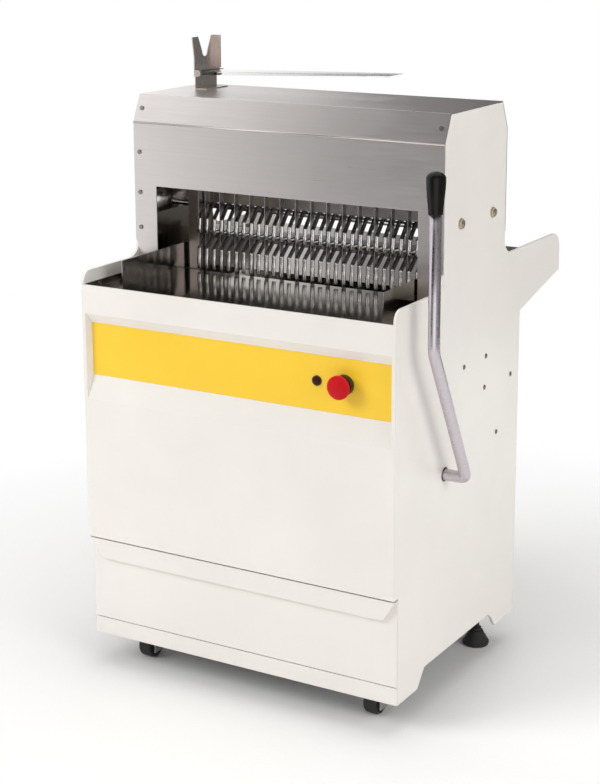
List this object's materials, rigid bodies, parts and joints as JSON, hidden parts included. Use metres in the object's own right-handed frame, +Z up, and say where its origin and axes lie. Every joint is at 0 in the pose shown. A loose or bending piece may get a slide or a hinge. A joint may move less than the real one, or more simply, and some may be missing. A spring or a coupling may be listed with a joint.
{
  "type": "bread slicer",
  "caption": "Floor-standing bread slicer with a reciprocating blade frame, feed lever, outfeed tray, crumb drawer and bag holder.",
  "frame": {"origin": "on the floor, under the middle of the machine's bounding box", "axes": "+Z up, the front with the drawer faces -Y, the feed lever is on the +X side"},
  "size_m": [0.6825, 0.684, 1.121],
  "materials": {
    "white_paint": "satin",
    "yellow_paint": "satin",
    "grey_paint": "satin",
    "stainless": "brushed",
    "polished_steel": "polished",
    "blade_steel": "ground",
    "machined_steel": "machined",
    "cast_iron": "cast",
    "aluminium": "machined",
    "red_plastic": "gloss",
    "black_plastic": "gloss",
    "dark_plastic": "matte",
    "black_rubber": "matte",
    "clear_plastic": "clear"
  },
  "bodies": {
    "cabinet": {"side_panel_left": "white_paint", "side_panel_right": "white_paint", "front_panel": "white_paint", "plinth_panel": "white_paint", "back_panel": "white_paint", "control_band": "yellow_paint", "base_plate": "grey_paint", "drive_deck": "grey_paint", "panel_braces": "grey_paint", "drawer_runners": "grey_paint", "hood_shell": "stainless", "infeed_table": "stainless", "bag_bracket": "stainless", "bag_fork": "stainless", "outfeed_tray": "polished_steel", "side_guides": "polished_steel", "hold_down_comb": "polished_steel", "comb_bolts": "polished_steel", "pusher_guide_rods": "machined_steel", "rod_brackets": "machined_steel", "foot_nuts": "machined_steel", "castor_forks": "machined_steel", "side_screws": "machined_steel", "cover_screws": "machined_steel", "crank_bearings": "cast_iron", "motor_housing": "cast_iron", "stop_collar": "black_plastic", "start_collar": "black_plastic", "switch_blocks": "dark_plastic", "cable_gland": "dark_plastic", "frame_guides": "dark_plastic", "lever_bushes": "dark_plastic", "drive_belt": "black_rubber"},
    "lever": {"lever_bar": "polished_steel", "lever_grip": "black_plastic", "lever_shaft": "machined_steel", "lever_arms": "machined_steel"},
    "pusher": {"pusher_beam": "machined_steel", "pusher_fingers": "polished_steel", "pusher_carriages": "machined_steel"},
    "front_frame": {"front_blade_frame": "machined_steel", "front_blades": "blade_steel"},
    "rear_frame": {"rear_blade_frame": "machined_steel", "rear_blades": "blade_steel"},
    "crank": {"crankshaft": "machined_steel", "driven_pulley": "aluminium"},
    "front_rod_pair": {"front_rods": "machined_steel"},
    "rear_rod_pair": {"rear_rods": "machined_steel"},
    "motor_rotor": {"motor_shaft": "machined_steel", "motor_pulley": "aluminium"},
    "drawer": {"drawer_front": "white_paint", "drawer_pan": "stainless"},
    "stop": {"stop_button": "red_plastic"},
    "start": {"start_button": "dark_plastic"},
    "flap": {"bag_flap": "clear_plastic", "bag_hinge_rod": "machined_steel"},
    "castor_left": {"castor_wheel_left": "black_rubber"},
    "castor_right": {"castor_wheel_right": "black_rubber"},
    "level_left": {"foot_left": "black_rubber"},
    "level_right": {"foot_right": "black_rubber"}
  },
  "joints": [
    {"name": "lever_swing", "type": "hinge", "parent": "cabinet", "child": "lever", "pos_m": [-0.028, -0.14, 0.412], "axis": [-1, 0, 0], "range_deg": [0, 47.6]},
    {"name": "pusher_travel", "type": "slide", "parent": "cabinet", "child": "pusher", "axis": [0, 1, 0], "range_m": [0, 0.2]},
    {"name": "front_frame_stroke", "type": "slide", "parent": "cabinet", "child": "front_frame", "axis": [0, 0, 1], "range_m": [-0.01, 0.01]},
    {"name": "rear_frame_stroke", "type": "slide", "parent": "cabinet", "child": "rear_frame", "axis": [0, 0, 1], "range_m": [-0.01, 0.01]},
    {"name": "crank_spin", "type": "hinge", "parent": "cabinet", "child": "crank", "pos_m": [-0.028, -0.053, 0.43], "axis": [1, 0, 0], "continuous": true},
    {"name": "front_rod_swing", "type": "hinge", "parent": "crank", "child": "front_rod_pair", "pos_m": [-0.028, -0.063, 0.43], "axis": [1, 0, 0], "continuous": true},
    {"name": "rear_rod_swing", "type": "hinge", "parent": "crank", "child": "rear_rod_pair", "pos_m": [-0.028, -0.043, 0.43], "axis": [1, 0, 0], "continuous": true},
    {"name": "motor_spin", "type": "hinge", "parent": "cabinet", "child": "motor_rotor", "pos_m": [-0.028, 0.092, 0.43], "axis": [1, 0, 0], "continuous": true},
    {"name": "drawer_pull", "type": "slide", "parent": "cabinet", "child": "drawer", "axis": [0, -1, 0], "range_m": [0, 0.28]},
    {"name": "stop_press", "type": "slide", "parent": "cabinet", "child": "stop", "axis": [0, 1, 0], "range_m": [0, 0.005], "stiffness_N_per_m": 800},
    {"name": "start_press", "type": "slide", "parent": "cabinet", "child": "start", "axis": [0, 1, 0], "range_m": [0, 0.003], "stiffness_N_per_m": 500},
    {"name": "flap_lift", "type": "hinge", "parent": "cabinet", "child": "flap", "pos_m": [-0.285, 0.007, 1.055], "axis": [0, -1, 0], "range_deg": [0, 85]},
    {"name": "castor_left_roll", "type": "hinge", "parent": "cabinet", "child": "castor_left", "pos_m": [-0.263, -0.244, 0.025], "axis": [1, 0, 0], "continuous": true},
    {"name": "castor_right_roll", "type": "hinge", "parent": "cabinet", "child": "castor_right", "pos_m": [0.207, -0.244, 0.025], "axis": [1, 0, 0], "continuous": true},
    {"name": "foot_left_turn", "type": "hinge", "parent": "cabinet", "child": "level_left", "pos_m": [-0.29, 0.104, 0], "axis": [0, 0, 1], "continuous": true},
    {"name": "foot_right_turn", "type": "hinge", "parent": "cabinet", "child": "level_right", "pos_m": [0.234, 0.104, 0], "axis": [0, 0, 1], "continuous": true}
  ],
  "couplings": [
    {"joint": "pusher_travel", "follows": "lever_swing", "m_per_rad": 0.2407},
    {"joint": "rear_frame_stroke", "follows": "front_frame_stroke", "ratio": -1},
    {"joint": "front_rod_swing", "follows": "crank_spin", "ratio": -1},
    {"joint": "rear_rod_swing", "follows": "crank_spin", "ratio": -1},
    {"joint": "motor_spin", "follows": "crank_spin", "ratio": 2}
  ]
}
